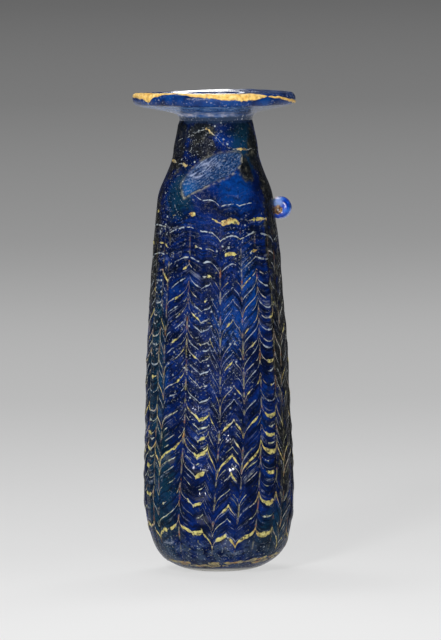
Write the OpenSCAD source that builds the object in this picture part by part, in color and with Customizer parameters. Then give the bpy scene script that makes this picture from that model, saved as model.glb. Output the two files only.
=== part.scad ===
// Core-formed glass alabastron with combed trails, in millimetres.
// The vessel stands on the XY plane with its axis on Z. The front faces -Y and the lug is at +X.
// Angles are in degrees round the axis from the front, positive to the right.

/* [Body] */
// Diameter of the flat that the vessel stands on
foot_d = 10; // [8:0.5:16]
// Diameter at the widest part of the body
belly_d = 42; // [38:0.2:46]
// Height of the widest part above the foot
belly_h = 24; // [20:1:30]
// Squareness of the heel curve between foot and widest part, 2 is an ellipse
heel_power = 2.5; // [2:0.1:3]
// Height of the side from the widest part to the shoulder
side_h = 80; // [70:1:90]
// Inward lean of the side above the widest part, per unit of height
belly_lean = 0.02; // [0:0.01:0.05]
// Diameter where the side turns into the shoulder
shoulder_d = 32.6; // [28:0.2:36]
// Height of the shoulder curve
shoulder_h = 13.5; // [11:0.5:18]
// Inward lean of the wall at both ends of the shoulder curve, per unit of height
shoulder_lean = 0.1; // [0.04:0.01:0.16]
// Thickness of the side wall
wall = 3; // [2:0.1:4]
// Thickness of the glass under the cavity
floor_t = 4; // [3:0.5:6]

/* [Neck and mouth] */
// Diameter of the neck at its root
neck_root_d = 23.6; // [21:0.2:26]
// Diameter of the neck under the rim
neck_top_d = 20.4; // [18:0.2:22]
// Height of the neck
neck_h = 8.9; // [6:0.1:14]
// Diameter of the neck bore and the mouth
mouth_d = 14; // [9:0.5:15]

/* [Rim] */
// Diameter of the rim disc
rim_d = 45.9; // [40:0.1:52]
// Thickness of the rim at its edge
rim_edge_t = 3.5; // [2.8:0.1:4.4]
// Depth of the rounding at the rim edge
rim_round = 1.4; // [1:0.1:2]
// Radius of the hollow curve between neck and rim
flare_r = 2.2; // [1.4:0.1:3]
// Rise of the rim underside above level
flare_angle = 14; // [8:1:22]
// Fall of the rim top from its edge to the mouth
rim_dish = 0.4; // [0.2:0.1:0.8]
// Radius of the rounded edge of the mouth
lip_r = 1.2; // [0.6:0.1:1.6]

/* [Lug] */
// Where the lug sits round the axis
lug_angle = 95; // [80:1:120]
// Fall from the shoulder to the centre of the round ear
lug_drop = 2.5; // [1.5:0.1:3]
// Diameter of the round ear
lug_d = 6.4; // [5.6:0.1:7]
// Thickness of the ear
lug_t = 3; // [2.2:0.1:4]
// Distance from the wall to the centre of the ear
lug_reach = 1.7; // [1.2:0.1:2]
// Diameter of the pierced eye
eye_d = 1.2; // [0.8:0.1:1.2]
// Distance from the wall to the centre of the eye
eye_reach = 1; // [0.9:0.05:1.3]
// Fall from the centre of the ear to the eye
eye_drop = 0.6; // [0:0.1:0.8]

/* [Comb strokes] */
// Width of the furrow left by a comb stroke
furrow_w = 1.4; // [0.8:0.1:2]
// Depth of a comb furrow
furrow_t = 0.25; // [0.1:0.05:0.5]
// Height where the furrows start
furrow_low_z = 9; // [7:1:16]
// Fall from the shoulder to where the furrows end
furrow_drop = 5; // [2:1:18]
// Length over which a furrow runs out at each end
furrow_run = 9; // [4:1:12]
// Turn of the strokes round the axis per mm of height
stroke_lean = 0.1; // [0:0.02:0.2]
// Longest way that a stroke drags the trails up or down
comb_pull = 4.8; // [0:0.2:5]
// Share of the full comb pull left at the top turn
comb_top = 0.45; // [0.2:0.05:1]
// Share of the full comb pull left at the bottom turn
comb_low = 0.5; // [0.2:0.05:1]

/* [Trails on the body] */
// Fall of a trail in one turn
trail_pitch = 6.8; // [6:0.1:9]
// Fall from the shoulder to where the yellow trail starts
yellow_drop = 4; // [3.8:0.1:5]
// Height above the foot where the yellow trail ends
yellow_end_z = 9.6; // [9.4:0.2:20]
// Width of the yellow trail
yellow_w = 1.3; // [0.8:0.1:1.8]
// Fall from the shoulder to where the pale trail starts
pale_drop = 7.1; // [6.8:0.1:7.4]
// Height above the foot where the pale trail ends
pale_end_z = 12.4; // [12:0.2:20]
// Width of the pale trail
pale_w = 0.6; // [0.4:0.1:1]
// How far the trails stand out of the wall
trail_relief = 0.3; // [0.15:0.05:0.5]

/* [Other trails] */
// Rise from the neck root to where the neck trail starts
neck_trail_rise = 2.9; // [1.5:0.1:4]
// Fall of the neck trail in one turn
neck_trail_pitch = 5.4; // [4:0.2:7]
// Rise of its peak at the front
neck_trail_peak = 3.4; // [0:0.2:4.6]
// Width of the neck trail
neck_trail_w = 0.6; // [0.4:0.1:1]
// Lower edge of the base trail above the foot
base_trail_z = 2.5; // [2.2:0.1:3]
// Height of the base trail
base_trail_h = 2; // [1.4:0.1:2.4]
// Angle on the rim edge of the thick end of the rim trail, 0 is outermost and 90 is the top
rim_trail_high = 50; // [40:1:52]
// Angle on the rim edge of its thin end
rim_trail_low = 0; // [-20:1:20]
// Half span on the rim edge of the thick end
rim_trail_thick = 36; // [24:1:36]
// Half span on the rim edge of the thin end
rim_trail_thin = 15; // [10:1:24]

/* [Hidden] */
full_turn = 360;
half_turn = 180;
foot_r = foot_d / 2;
belly_r = belly_d / 2;
shoulder_r = shoulder_d / 2;
neck_root_r = neck_root_d / 2;
neck_top_r = neck_top_d / 2;
mouth_r = mouth_d / 2;
rim_r = rim_d / 2;
shoulder_z = belly_h + side_h;
neck_root_z = shoulder_z + shoulder_h;
neck_top_z = neck_root_z + neck_h;
flare_end_r = neck_top_r + flare_r * (1 - sin(flare_angle));
flare_end_z = neck_top_z + flare_r * cos(flare_angle);
edge_r = rim_r - rim_round;
edge_low_z = flare_end_z + (edge_r - flare_end_r) * tan(flare_angle);
edge_mid_z = edge_low_z + rim_edge_t / 2;
rim_top_z = edge_low_z + rim_edge_t;
lug_z = shoulder_z - lug_drop;
furrow_high_z = shoulder_z - furrow_drop;

// Comb strokes: angle, share of the full pull (up is positive) and spread in degrees
strokes = [
    [-58, 0.5, 4.5], [-50.5, -0.75, 6], [-27.5, 0.88, 7], [-6.5, 0.3, 4], [1.5, -1, 6], [12.5, 0.33, 4.5],
    [21, -0.75, 6], [37, 0.7, 6], [54.5, 0.7, 5.5], [65, -0.95, 6.5], [80, 0.62, 7], [91.5, -1, 6],
    [113, 0.7, 7], [128, -0.7, 6], [141, 0.33, 4.5], [153, -0.95, 6], [163, 0.3, 4], [182, 0.88, 7],
    [205, -0.95, 6.5], [219, 0.67, 5.5], [235, 0.7, 6], [250, -0.75, 6], [262, 0.33, 4.5], [274, -0.95, 6],
    [288, 0.46, 6]
];
// Height at which the strokes stand at their own angles
stroke_mid_z = 45;
// Share of the full pull from which a stroke leaves a furrow
furrow_share = 0.4;
// Largest step round the axis between two points of a trail
trail_step = 9.5;
// Distance kept between a trail and the wall under it
seat_gap = 0.08;
// Number of sections over which the end of a trail thins out
tip_sections = 3;

// Long flake lost from the front shoulder: angle, rise above the shoulder, slant, depth, tilt and radii
flake_angle = -2;
flake_rise = 7.2;
flake_z = shoulder_z + flake_rise;
flake_slant = 31;
flake_t = 0.8;
flake_tilt = 20;
flake_tube_r = 7.3;
flake_ring_r = 32.6;

// Smooth curve between two stations of height, radius and slope
function curve(a, b, z) =
    let (span = b[0] - a[0], s = (z - a[0]) / span)
    a[1] * (2 * s ^ 3 - 3 * s ^ 2 + 1) + a[2] * span * (s ^ 3 - 2 * s ^ 2 + s)
    + b[1] * (3 * s ^ 2 - 2 * s ^ 3) + b[2] * span * (s ^ 3 - s ^ 2);

// Stations of the outer wall
belly_at = [belly_h, belly_r, -belly_lean];
shoulder_at = [shoulder_z, shoulder_r, -shoulder_lean];
neck_root_at = [neck_root_z, neck_root_r, -shoulder_lean];
neck_top_at = [neck_top_z, neck_top_r, -shoulder_lean];

// Radius of the heel at height z, from a flat of radius flat_r at height low
function heel_r(z, flat_r, side_r, low) =
    let (u = min(1, max(0, (belly_h - z) / (belly_h - low))))
    flat_r + (side_r - flat_r) * (1 - u ^ heel_power) ^ (1 / heel_power);

// Radius of the outer wall at height z
function outer_r(z) =
    z < belly_h ? heel_r(z, foot_r, belly_r, 0)
    : z < shoulder_z ? curve(belly_at, shoulder_at, z)
    : z < neck_root_z ? curve(shoulder_at, neck_root_at, z)
    : curve(neck_root_at, neck_top_at, z);

// Slope of the outer wall, radius per unit of height
slope_step = 0.1;
function outer_slope(z) = (outer_r(z + slope_step) - outer_r(z - slope_step)) / (2 * slope_step);

// Corner points of a heel curve as radius and height
function heel_points(flat_r, side_r, low, steps) = [
    for (i = [0:steps]) let (t = 90 * i / steps)
        [flat_r + (side_r - flat_r) * sin(t) ^ (2 / heel_power),
         belly_h - (belly_h - low) * cos(t) ^ (2 / heel_power)]
];

// Heights at even steps after z0 up to z1
function heights(z0, z1, steps) = [for (i = [1:steps]) z0 + (z1 - z0) * i / steps];

heel_steps = 18;
side_steps = 10;
shoulder_steps = 12;
neck_steps = 5;

outer_line = concat(
    heel_points(foot_r, belly_r, 0, heel_steps),
    [for (z = heights(belly_h, shoulder_z, side_steps)) [outer_r(z), z]],
    [for (z = heights(shoulder_z, neck_root_z, shoulder_steps)) [outer_r(z), z]],
    [for (z = heights(neck_root_z, neck_top_z, neck_steps)) [outer_r(z), z]]
);

// Cavity line from the floor to the neck bore
cavity_shoulder_at = [shoulder_z, shoulder_r - wall, -shoulder_lean];
bore_at = [neck_root_z, mouth_r, 0];
cavity_line = concat(
    [[0, floor_t]],
    heel_points(foot_r, belly_r - wall, floor_t, heel_steps),
    [for (z = heights(belly_h, shoulder_z, side_steps)) [outer_r(z) - wall, z]],
    [for (z = heights(shoulder_z, neck_root_z, shoulder_steps)) [curve(cavity_shoulder_at, bore_at, z), z]]
);

// Share of full depth along a furrow, from 0 at its ends
function furrow_fade(z) = min(1, (z - furrow_low_z) / furrow_run, (furrow_high_z - z) / furrow_run);

furrow_steps = 14;
furrow_over = 1.5;

// Side view of a furrow cutter, from the furrow floor to clear of the wall
module furrow_side() {
    zs = concat([furrow_low_z], heights(furrow_low_z, furrow_high_z, furrow_steps));
    polygon(concat(
        [for (z = zs) [outer_r(z) - furrow_t * furrow_fade(z), z]],
        [[belly_r + furrow_over, furrow_high_z], [belly_r + furrow_over, furrow_low_z]]
    ));
}

// One furrow cutter on the stroke at the given angle
module furrow(angle) {
    lean = atan(stroke_lean * belly_r * PI / half_turn);
    rotate([0, 0, angle - 90])
        translate([0, 0, stroke_mid_z])
        rotate([-lean, 0, 0])
        translate([0, 0, -stroke_mid_z])
        rotate([90, 0, 0])
        linear_extrude(height = furrow_w, center = true)
        furrow_side();
}

// Ring-shaped cutter that leaves the long hollow of the lost flake
module flake() {
    rotate([0, 0, flake_angle - 90])
        translate([outer_r(flake_z), 0, flake_z])
        rotate([0, -flake_tilt, 0])
        rotate([flake_slant, 0, 0])
        translate([flake_tube_r - flake_ring_r - flake_t, 0, 0])
        rotate_extrude()
        translate([flake_ring_r, 0])
        circle(r = flake_tube_r);
}

// Solid inside the outer wall, without furrows or flake
module outer_solid() {
    rotate_extrude()
        polygon(concat([[0, 0]], outer_line, [[0, neck_top_z]]));
}

module body() {
    color([0.05, 0.11, 0.42])
    difference() {
        rotate_extrude()
            polygon(concat(
                [[0, 0]], outer_line, [[mouth_r, neck_top_z]],
                [for (i = [len(cavity_line) - 1:-1:0]) cavity_line[i]]
            ));
        for (s = strokes)
            if (abs(s[1]) > furrow_share)
                furrow(s[0]);
        flake();
    }
}

flare_steps = 8;
edge_steps = 12;
lip_steps = 6;

module rim_disk() {
    flare = [
        for (i = [0:flare_steps]) let (t = (90 - flare_angle) * i / flare_steps)
            [neck_top_r + flare_r * (1 - cos(t)), neck_top_z + flare_r * sin(t)]
    ];
    edge = [
        for (i = [0:edge_steps]) let (t = half_turn * i / edge_steps - half_turn / 2)
            [edge_r + rim_round * cos(t), edge_mid_z + rim_edge_t / 2 * sin(t)]
    ];
    lip_z = rim_top_z - rim_dish - lip_r;
    lip = [
        for (i = [0:lip_steps]) let (t = 90 * i / lip_steps)
            [mouth_r + lip_r * (1 - sin(t)), lip_z + lip_r * cos(t)]
    ];
    color([0.05, 0.10, 0.38])
    rotate_extrude()
        polygon(concat(flare, edge, lip, [[mouth_r, neck_top_z]]));
}

// How far the drill for the eye runs out of the ear on each side
eye_over = 1;

// Places a shape beside the wall at the lug, with its axis along the wall
module at_lug(reach, drop) {
    rotate([0, 0, lug_angle - 90])
        translate([outer_r(lug_z) + reach, 0, lug_z - drop])
        rotate([90, 0, 0])
        children();
}

// Round pierced ear with a rounded edge, cut to the curve of the wall
module lug() {
    edge = [
        for (i = [0:edge_steps]) let (t = half_turn * i / edge_steps - half_turn / 2)
            [(lug_d - lug_t) / 2 + lug_t / 2 * cos(t), lug_t / 2 * sin(t)]
    ];
    color([0.10, 0.30, 0.75])
    difference() {
        at_lug(lug_reach, 0)
            rotate_extrude()
            polygon(concat([[0, -lug_t / 2]], edge, [[0, lug_t / 2]]));
        at_lug(eye_reach, eye_drop)
            cylinder(d = eye_d, h = lug_t + 2 * eye_over, center = true);
        outer_solid();
    }
}

// Point at an angle and height, standing off the outer wall along its normal
function wall_point(angle, z, off) =
    let (slope = outer_slope(z), n = sqrt(1 + slope ^ 2), r = outer_r(z) + off / n)
    [r * sin(angle), -r * cos(angle), z - off * slope / n];

// Thread through rings of points, all rings alike, with flat ends
module thread(rings) {
    count = len(rings[0]);
    last = len(rings) - 1;
    polyhedron(
        points = [for (ring = rings) each ring],
        faces = concat(
            [[for (k = [0:count - 1]) k]],
            [for (i = [0:last - 1], k = [0:count - 1])
                let (a = i * count + k, b = i * count + (k + 1) % count)
                each [[a, a + count, b + count], [a, b + count, b]]],
            [[for (k = [count - 1:-1:0]) last * count + k]]
        )
    );
}

// Shortest way round from one angle to another
function turn_between(a, b) =
    let (d = (a - b) % full_turn)
    d > half_turn ? d - full_turn : d < -half_turn ? d + full_turn : d;

// Pull of all comb strokes at an angle
function pull(angle) = comb_pull
    * ([for (s = strokes) s[1]] * [for (s = strokes) exp(-abs(turn_between(angle, s[0])) / s[2])]);

// Share of the full pull left at height z
comb_low_run = 9;
comb_top_run = 27;
function comb_share(z) =
    let (low = min(1, max(0, (z - furrow_low_z) / comb_low_run)),
         high = min(1, max(0, (furrow_high_z - z) / comb_top_run)))
    min(comb_low + (1 - comb_low) * low, comb_top + (1 - comb_top) * high);

// Angles of one turn: every stroke, and even steps between one stroke and the next
stations = [
    for (k = [0:len(strokes) - 1])
        let (a = strokes[k][0],
             b = k + 1 < len(strokes) ? strokes[k + 1][0] : strokes[0][0] + full_turn,
             steps = ceil((b - a) / trail_step))
        for (j = [0:steps - 1]) a + (b - a) * j / steps
];

// Share of full size near the ends of a thread of count sections
function tip(i, count) = min(1, (i + 1) / (tip_sections + 1), (count - i) / (tip_sections + 1));

// Points of a trail stand far enough out that the straight steps clear the round wall
function step_gap(r) = seat_gap + r * (1 / cos(trail_step / 2) - 1);

// Share of a trail's half width that its flat crown keeps
crown = 0.6;

// Section of a body trail at an angle and height
function trail_ring(angle, z, width, share) =
    let (h = width / 2 * share, gap = step_gap(outer_r(z)))
    [wall_point(angle, z + h, gap), wall_point(angle, z + h * crown, gap + trail_relief * share),
     wall_point(angle, z - h * crown, gap + trail_relief * share), wall_point(angle, z - h, gap)];

// Combed spiral that falls to the right from top_z to end_z
module combed_trail(top_z, end_z, width) {
    count = len(stations);
    total = floor((top_z - end_z) / trail_pitch * count);
    first = stations[0];
    rings = [
        for (i = [0:total])
            let (angle = stations[i % count] + full_turn * floor(i / count),
                 z0 = top_z - trail_pitch * (angle - first) / full_turn,
                 z = z0 + pull(angle) * comb_share(z0))
            trail_ring(angle + stroke_lean * (z - stroke_mid_z), z, width, tip(i, total))
    ];
    thread(rings);
}

module yellow_trail() {
    color([0.80, 0.66, 0.22])
        combed_trail(shoulder_z - yellow_drop, yellow_end_z, yellow_w);
}

module pale_trail() {
    color([0.72, 0.74, 0.78])
        combed_trail(shoulder_z - pale_drop, pale_end_z, pale_w);
}

// Worn thread that falls from the neck to the shoulder, with a peak at the front
neck_trail_from = -75;
neck_trail_sweep = 395;
neck_peak_angle = -13;
neck_peak_spread = 20;

module neck_trail() {
    total = ceil(neck_trail_sweep / trail_step);
    rings = [
        for (i = [0:total])
            let (sweep = neck_trail_sweep * i / total,
                 angle = neck_trail_from + sweep,
                 peak = neck_trail_peak * exp(-abs(angle - neck_peak_angle) / neck_peak_spread),
                 z = neck_root_z + neck_trail_rise - neck_trail_pitch * sweep / full_turn + peak)
            trail_ring(angle, z, neck_trail_w, tip(i, total))
    ];
    color([0.78, 0.72, 0.48])
        thread(rings);
}

// Plain turn round the foot that dips at the front left and thins where its ends meet
base_trail_from = 170;
base_trail_sweep = 356;
base_trail_wave = 0.8;
base_trail_high_angle = 170;
base_trail_steps = 60;
base_trail_gap = 0.07;

module base_trail() {
    rings = [
        for (i = [0:base_trail_steps])
            let (angle = base_trail_from + base_trail_sweep * i / base_trail_steps,
                 share = tip(i, base_trail_steps),
                 mid = base_trail_z + base_trail_h / 2 + base_trail_wave * cos(angle - base_trail_high_angle),
                 h = base_trail_h / 2 * share,
                 top = base_trail_gap + trail_relief * share)
            [wall_point(angle, mid + h, base_trail_gap), wall_point(angle, mid + h * crown, top),
             wall_point(angle, mid - h * crown, top), wall_point(angle, mid - h, base_trail_gap),
             wall_point(angle, mid - h / 3, base_trail_gap), wall_point(angle, mid + h / 3, base_trail_gap)]
    ];
    color([0.80, 0.64, 0.22])
        thread(rings);
}

// Thread laid once round the rim edge, from a thick end at the front to a thin lower end beside it
rim_trail_from = 41;
rim_trail_sweep = 357;
rim_trail_steps = 72;
rim_trail_gap = 0.06;
rim_trail_relief = 0.4;
// Place and length round the rim where the thread is worn thin, and the share that is left there
rim_worn_angle = -29;
rim_worn_spread = 8;
rim_worn_left = 0.45;

// Point on the rim edge at an angle round the axis and an edge angle, standing off the glass
function rim_point(angle, edge, off) =
    let (r = edge_r + (rim_round + off) * cos(edge))
    [r * sin(angle), -r * cos(angle), edge_mid_z + (rim_edge_t / 2 + off) * sin(edge)];

module rim_trail() {
    rings = [
        for (i = [rim_trail_steps:-1:0])
            let (s = i / rim_trail_steps,
                 angle = rim_trail_from - rim_trail_sweep * s,
                 worn = 1 - (1 - rim_worn_left) * exp(-((angle - rim_worn_angle) / rim_worn_spread) ^ 2),
                 share = tip(i, rim_trail_steps) * worn,
                 mid = rim_trail_high + (rim_trail_low - rim_trail_high) * s,
                 half = (rim_trail_thick + (rim_trail_thin - rim_trail_thick) * s) * share,
                 top = rim_trail_gap + rim_trail_relief * share)
            [rim_point(angle, mid + half, rim_trail_gap), rim_point(angle, mid + half * crown, top),
             rim_point(angle, mid - half * crown, top), rim_point(angle, mid - half, rim_trail_gap),
             rim_point(angle, mid - half / 3, rim_trail_gap), rim_point(angle, mid + half / 3, rim_trail_gap)]
    ];
    color([0.90, 0.68, 0.20])
        thread(rings);
}

body();
rim_disk();
lug();
rim_trail();
neck_trail();
yellow_trail();
pale_trail();
base_trail();
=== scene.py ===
import math
from types import SimpleNamespace

import bpy
import numpy as np
from mathutils import Matrix, Vector


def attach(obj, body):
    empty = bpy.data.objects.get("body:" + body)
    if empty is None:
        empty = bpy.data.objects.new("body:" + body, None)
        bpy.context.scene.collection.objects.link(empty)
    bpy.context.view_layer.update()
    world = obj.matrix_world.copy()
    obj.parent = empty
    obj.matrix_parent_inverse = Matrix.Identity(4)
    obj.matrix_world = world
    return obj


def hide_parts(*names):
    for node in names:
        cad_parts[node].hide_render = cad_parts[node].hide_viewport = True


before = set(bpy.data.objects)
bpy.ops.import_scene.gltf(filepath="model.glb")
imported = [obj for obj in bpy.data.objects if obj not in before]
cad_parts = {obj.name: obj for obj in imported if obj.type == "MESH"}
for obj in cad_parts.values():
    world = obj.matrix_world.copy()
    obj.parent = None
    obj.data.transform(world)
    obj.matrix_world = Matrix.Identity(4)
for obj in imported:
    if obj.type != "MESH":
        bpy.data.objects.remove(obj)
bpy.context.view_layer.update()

# Sizes of the vessel in millimetres, as in its source
MM = 0.001
FOOT_R = 5.0
BELLY_R = 21.0
BELLY_H = 24.0
BELLY_LEAN = 0.02
HEEL_POWER = 2.5
SHOULDER_R = 16.3
SHOULDER_Z = 104.0
SHOULDER_LEAN = 0.1
NECK_ROOT_R = 11.8
NECK_ROOT_Z = 117.5
NECK_TOP_R = 10.2
NECK_TOP_Z = 126.4
WALL = 3.0
FLOOR_T = 4.0
MOUTH_R = 7.0
RIM_R = 22.95
RIM_EDGE_T = 3.5
RIM_ROUND = 1.4
FLARE_R = 2.2
FLARE_ANGLE = math.radians(14)
RIM_DISH = 0.4
LIP_R = 1.2
LUG_ANGLE = math.radians(95)
LUG_Z = 101.5
LUG_R = 3.2
LUG_T = 3.0
LUG_REACH = 1.7
EYE_R = 0.6
EYE_CLEAR_R = 0.28
EYE_REACH = 1.0
EYE_DROP = 0.6
EDGE_R = RIM_R - RIM_ROUND
FLARE_END_R = NECK_TOP_R + FLARE_R * (1 - math.sin(FLARE_ANGLE))
FLARE_END_Z = NECK_TOP_Z + FLARE_R * math.cos(FLARE_ANGLE)
EDGE_LOW_Z = FLARE_END_Z + (EDGE_R - FLARE_END_R) * math.tan(FLARE_ANGLE)
EDGE_MID_Z = EDGE_LOW_Z + RIM_EDGE_T / 2
RIM_TOP_Z = EDGE_LOW_Z + RIM_EDGE_T

# Comb strokes: angle from the front in degrees, pull in mm (up is positive), spread in degrees
STROKES = [
    (-58, 2.4, 4.5), (-50.5, -3.6, 6), (-27.5, 4.2, 7), (-15, -0.9, 4.5), (-7, 1.9, 4), (1.5, -4.8, 6),
    (12.5, 1.6, 4.5), (21, -3.6, 6), (37, 3.4, 6), (54.5, 3.4, 5.5), (65, -4.6, 6.5), (80, 3.0, 7),
    (91.5, -4.8, 6), (113, 3.4, 7), (128, -3.4, 6), (141, 1.6, 4.5), (153, -4.6, 6), (163, 1.5, 4),
    (182, 4.2, 7), (205, -4.6, 6.5), (219, 3.2, 5.5), (235, 3.4, 6), (250, -3.6, 6), (262, 1.6, 4.5),
    (274, -4.6, 6), (288, 2.2, 6),
]
STRONG_PULL = 2.0
SPIKE_SPREAD = 0.9
# Lean of the strokes above and below the middle, in degrees per mm, and how it bends
STROKE_MID_Z = 45.0
LEAN_ABOVE = 0.05
LEAN_BELOW = 0.16
LEAN_BEND = 0.0022
FURROW_LOW_Z = 5.0
FURROW_HIGH_Z = 101.0
FURROW_DEEP = 0.30
FURROW_SHALLOW = 0.12
FURROW_W = 0.7
FURROW_BANK = 1.5
BANK_SHARE = 0.35
# Heights of the yellow turns where they pass the angle TURN_ANGLE
TURN_Z = [108.2, 99.2, 90.4, 83.1, 76.5, 70.7, 64.6, 59.6, 52.7, 43.5, 37.8, 33.6, 28.2, 19.5, 11.3, 4.0]
TURN_ANGLE = 11.0
TURNS = np.arange(len(TURN_Z)) - 1.0
# How much better each turn is kept than the rest
TURN_KEPT = [0.0, -0.6, -0.45, -0.2, 0.0, 0.1, 0.15, 0.15, 0.1, 0.4, -0.3, 0.7, -0.4, 0.05, 0.6, 0.0]
# Stretches of the yellow trail: turn, angle and spread in degrees, how well kept, how much thicker
KEPT_SPOTS = [
    (0, 9, 8, 1.9, 1.0), (0, 26, 4, -1.6, 0.0), (0, 40, 9, 1.4, 0.1), (0, -29, 4, 0.7, 0.3),
    (1, 8, 5, 0.6, 0.4), (1, -26, 4, 0.6, 0.3), (2, -52, 6, 0.7, 0.4), (8, -34, 8, -0.9, 0.0),
    (8, -15, 9, 0.8, 0.1), (8, 13, 9, 0.9, 0.1), (8, 46, 8, 0.8, 0.2), (9, -11, 7, 0.6, 0.0),
    (9, 13, 6, 0.6, 0.0), (9, 46, 7, 0.6, 0.0), (10, -50, 14, 0.8, 0.0), (10, -13, 9, 0.9, 0.2),
    (10, 12, 9, 0.9, 0.1), (10, 28, 6, 0.7, 0.0), (10, 46, 8, 0.9, 0.4), (11, -11, 8, 1.0, 0.3),
    (11, 14, 5, 0.9, 0.3), (11, 46, 7, 0.6, 0.0), (12, -16, 9, 0.7, 0.1), (12, 10, 8, 0.8, 0.2),
    (12, 31, 6, 0.5, 0.0), (12, 46, 8, 1.0, 0.3), (13, -9, 9, 0.7, 0.2), (13, 16, 9, 0.7, 0.2),
    (13, 30, 7, 0.7, 0.1), (13, 46, 10, 0.8, 0.4),
]

# Outline of the lost flake on the shoulder: angle in degrees and height in mm
FLAKE = [
    (-32.4, 105.3), (-39.5, 109.1), (-32.3, 112.7), (-21.9, 115.3), (-3.5, 117.2), (10.6, 117.8),
    (29, 117.9), (36.2, 117.0), (35.1, 114.6), (24.3, 112.4), (10.9, 110.8), (-5.7, 109.1), (-20.1, 107.2),
]
# Painted highlight on the flake's bed, as patches: angle and height, and half spans in degrees and mm
FLAKE_PAINTED_HIGHLIGHT = [(-10, 114.6, 16, 1.8), (-24, 111.6, 12, 1.4)]
FLAKE_TIP = [(-31, 107.5, 10, 2.2)]
FLAKE_R = 14.0
FLAKE_DEPTH = 0.75
FLAKE_SLANT = math.radians(31)

# Patches of the wall: angle in degrees, height in mm, and their half spans in degrees and mm
AZURE = [
    (20, 108, 18, 6), (-50, 55, 7, 7), (10, 70, 14, 8), (30, 80, 9, 10), (150, 80, 20, 12),
    (200, 40, 20, 14), (-120, 60, 18, 12), (110, 30, 16, 12), (-150, 105, 20, 6),
]
TEAL = [
    (-56, 24, 20, 18), (-62, 58, 14, 22), (55, 12, 22, 7), (-40, 106, 16, 6), (46, 120, 24, 7),
    (130, 60, 18, 20), (-110, 30, 20, 14), (175, 100, 24, 10), (-170, 20, 26, 10),
]
# Dark earth, and on the flanks dark patches that are painted shade
EARTH_AND_FLANK_SHADE = [
    (-26, 123.4, 24, 2.6), (60, 68, 9, 18), (78, 60, 14, 34), (72, 104, 16, 14), (-68, 119, 24, 8),
    (-20, 119, 22, 3.5), (40, 113, 9, 3.5), (-78, 88, 14, 16), (58, 92, 6, 8), (62, 32, 8, 14),
    (62, 118, 14, 6), (175, 112, 40, 8), (-140, 90, 22, 20), (120, 96, 18, 10), (150, 20, 20, 10),
    (-150, 55, 16, 20),
]
PITTED = [
    (-34, 118, 24, 6), (-6, 122.5, 34, 4), (-50, 98, 16, 14), (-62, 76, 12, 14), (20, 92, 20, 8),
    (-10, 60, 30, 16), (-4, 42, 20, 5), (160, 90, 40, 20), (-130, 40, 40, 24), (110, 70, 30, 30),
    (-48, 108, 18, 7),
]
# Bulges of the wall that have kept their polish, as patches
POLISHED = [
    (-14, 30.3, 6, 1.3), (10, 30.0, 4, 1.2), (-13, 16.0, 5, 1.3), (-14, 22.5, 6, 1.2), (6, 9.0, 6, 1.4),
    (10, 38.5, 4, 1.2), (-20, 47, 4, 1.4), (-40, 33, 5, 1.6), (150, 30, 6, 1.5), (-150, 18, 6, 1.5),
    (100, 15, 5, 1.5),
]
PATCHES = {"flake_painted_highlight": FLAKE_PAINTED_HIGHLIGHT, "flake_tip": FLAKE_TIP, "azure": AZURE, "teal": TEAL,
           "earth_and_flank_shade": EARTH_AND_FLANK_SHADE, "pitted": PITTED, "polished": POLISHED}
BULGE = 0.45
# The foot is a little fuller than the plain shape, and sits towards the lug
FOOT_FULL = 0.6
FOOT_FULL_Z = 6.0
FOOT_FULL_H = 4.0
FOOT_DRIFT = 0.3
# Sideways drift of the neck, towards the lug
NECK_DRIFT = 0.4


def smooth(x, low, high):
    """0 below low, 1 above high, and a smooth step between."""
    t = np.clip((x - low) / (high - low), 0, 1)
    return t * t * (3 - 2 * t)


def bell(x, width):
    """1 where x is 0, fading over about width on both sides."""
    return np.exp(-((x / width) ** 2))


def fall(x, low, high):
    """1 below low, 0 above high, and a smooth step between."""
    return smooth(-x, -high, -low)


RIPPLE_WAVES = 26
WANDER_WAVES = 40


def ripple(theta, z, seed, waves_round, shortest):
    """Seamless bumps round the vessel, about -2 to 2, no finer than shortest mm in height."""
    rng = np.random.default_rng(seed)
    total = np.zeros(np.broadcast(theta, z).shape)
    for _ in range(RIPPLE_WAVES):
        k = rng.integers(0, waves_round + 1)
        w = rng.uniform(-1, 1) * 2 * math.pi / shortest
        total += np.cos(k * theta + w * z + rng.uniform(0, 2 * math.pi))
    return total / math.sqrt(RIPPLE_WAVES / 2)


def wander(s, seed, shortest, longest):
    """Bumps along a line of length s mm, about -2 to 2."""
    rng = np.random.default_rng(seed)
    total = np.zeros_like(s)
    for _ in range(WANDER_WAVES):
        wave = shortest * (longest / shortest) ** rng.uniform()
        total += np.cos(2 * math.pi * s / wave + rng.uniform(0, 2 * math.pi))
    return total / math.sqrt(WANDER_WAVES / 2)


def curve(a, b, z):
    """Smooth curve between two stations of height, radius and slope."""
    span = b[0] - a[0]
    s = (z - a[0]) / span
    return (a[1] * (2 * s**3 - 3 * s**2 + 1) + a[2] * span * (s**3 - 2 * s**2 + s)
            + b[1] * (3 * s**2 - 2 * s**3) + b[2] * span * (s**3 - s**2))


# Stations of the wall from the belly to the neck's top: height, radius and slope
STATIONS = [
    (BELLY_H, BELLY_R, -BELLY_LEAN), (SHOULDER_Z, SHOULDER_R, -SHOULDER_LEAN),
    (NECK_ROOT_Z, NECK_ROOT_R, -SHOULDER_LEAN), (NECK_TOP_Z, NECK_TOP_R, -SHOULDER_LEAN),
]


def outer_r(z):
    """Radius of the plain outer wall at height z."""
    z = np.asarray(z, float)
    u = np.clip((BELLY_H - z) / BELLY_H, 0, 1)
    r = FOOT_R + (BELLY_R - FOOT_R) * (1 - u**HEEL_POWER) ** (1 / HEEL_POWER)
    for low, high in zip(STATIONS, STATIONS[1:]):
        r = np.where(z < low[0], r, curve(low, high, z))
    return r


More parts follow.
